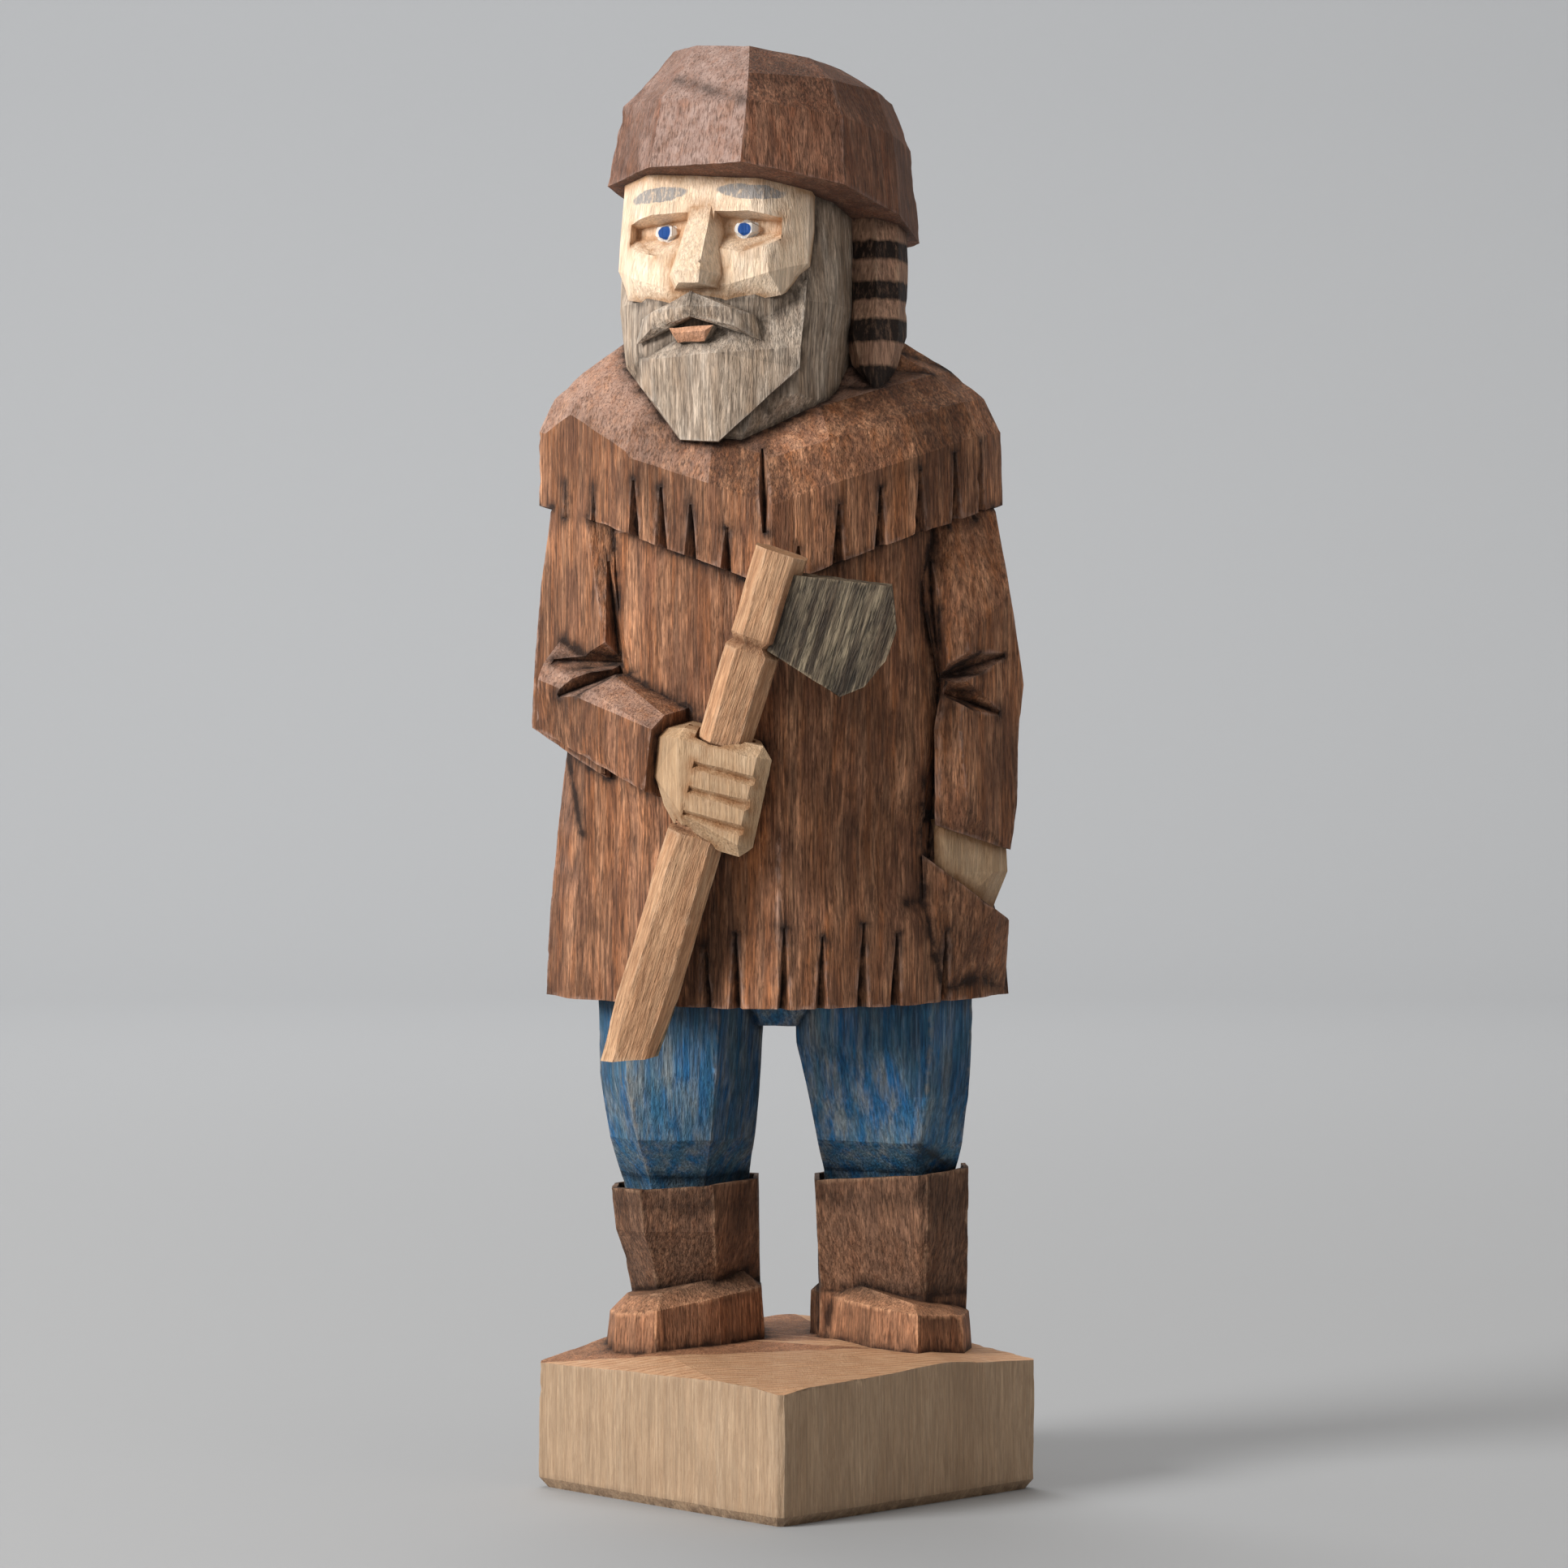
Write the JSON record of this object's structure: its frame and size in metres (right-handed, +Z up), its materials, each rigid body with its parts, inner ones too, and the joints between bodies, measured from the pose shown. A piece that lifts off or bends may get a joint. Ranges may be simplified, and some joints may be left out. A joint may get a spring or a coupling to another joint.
{
  "type": "mountain man carving",
  "caption": "Flat-plane whittled wooden mountain man on a square block base, holding an axe; a shelf ornament that stands by its own weight.",
  "frame": {"origin": "middle of the flat underside of the base", "axes": "+Z up through the figure, -Y towards the viewer, along the diagonal of the square base, +X to the viewer's right"},
  "size_m": [0.0728, 0.0716, 0.2079],
  "materials": {
    "carved_basswood": "basswood under thin paint washes and brown stain, worn lighter on the edges and dark in the cuts",
    "whittled_axe_wood": "bare light wood handle with a thin grey wash on the axe head"
  },
  "bodies": {
    "root": {"mountain_man": "carved_basswood", "axe": "whittled_axe_wood"}
  },
  "joints": []
}
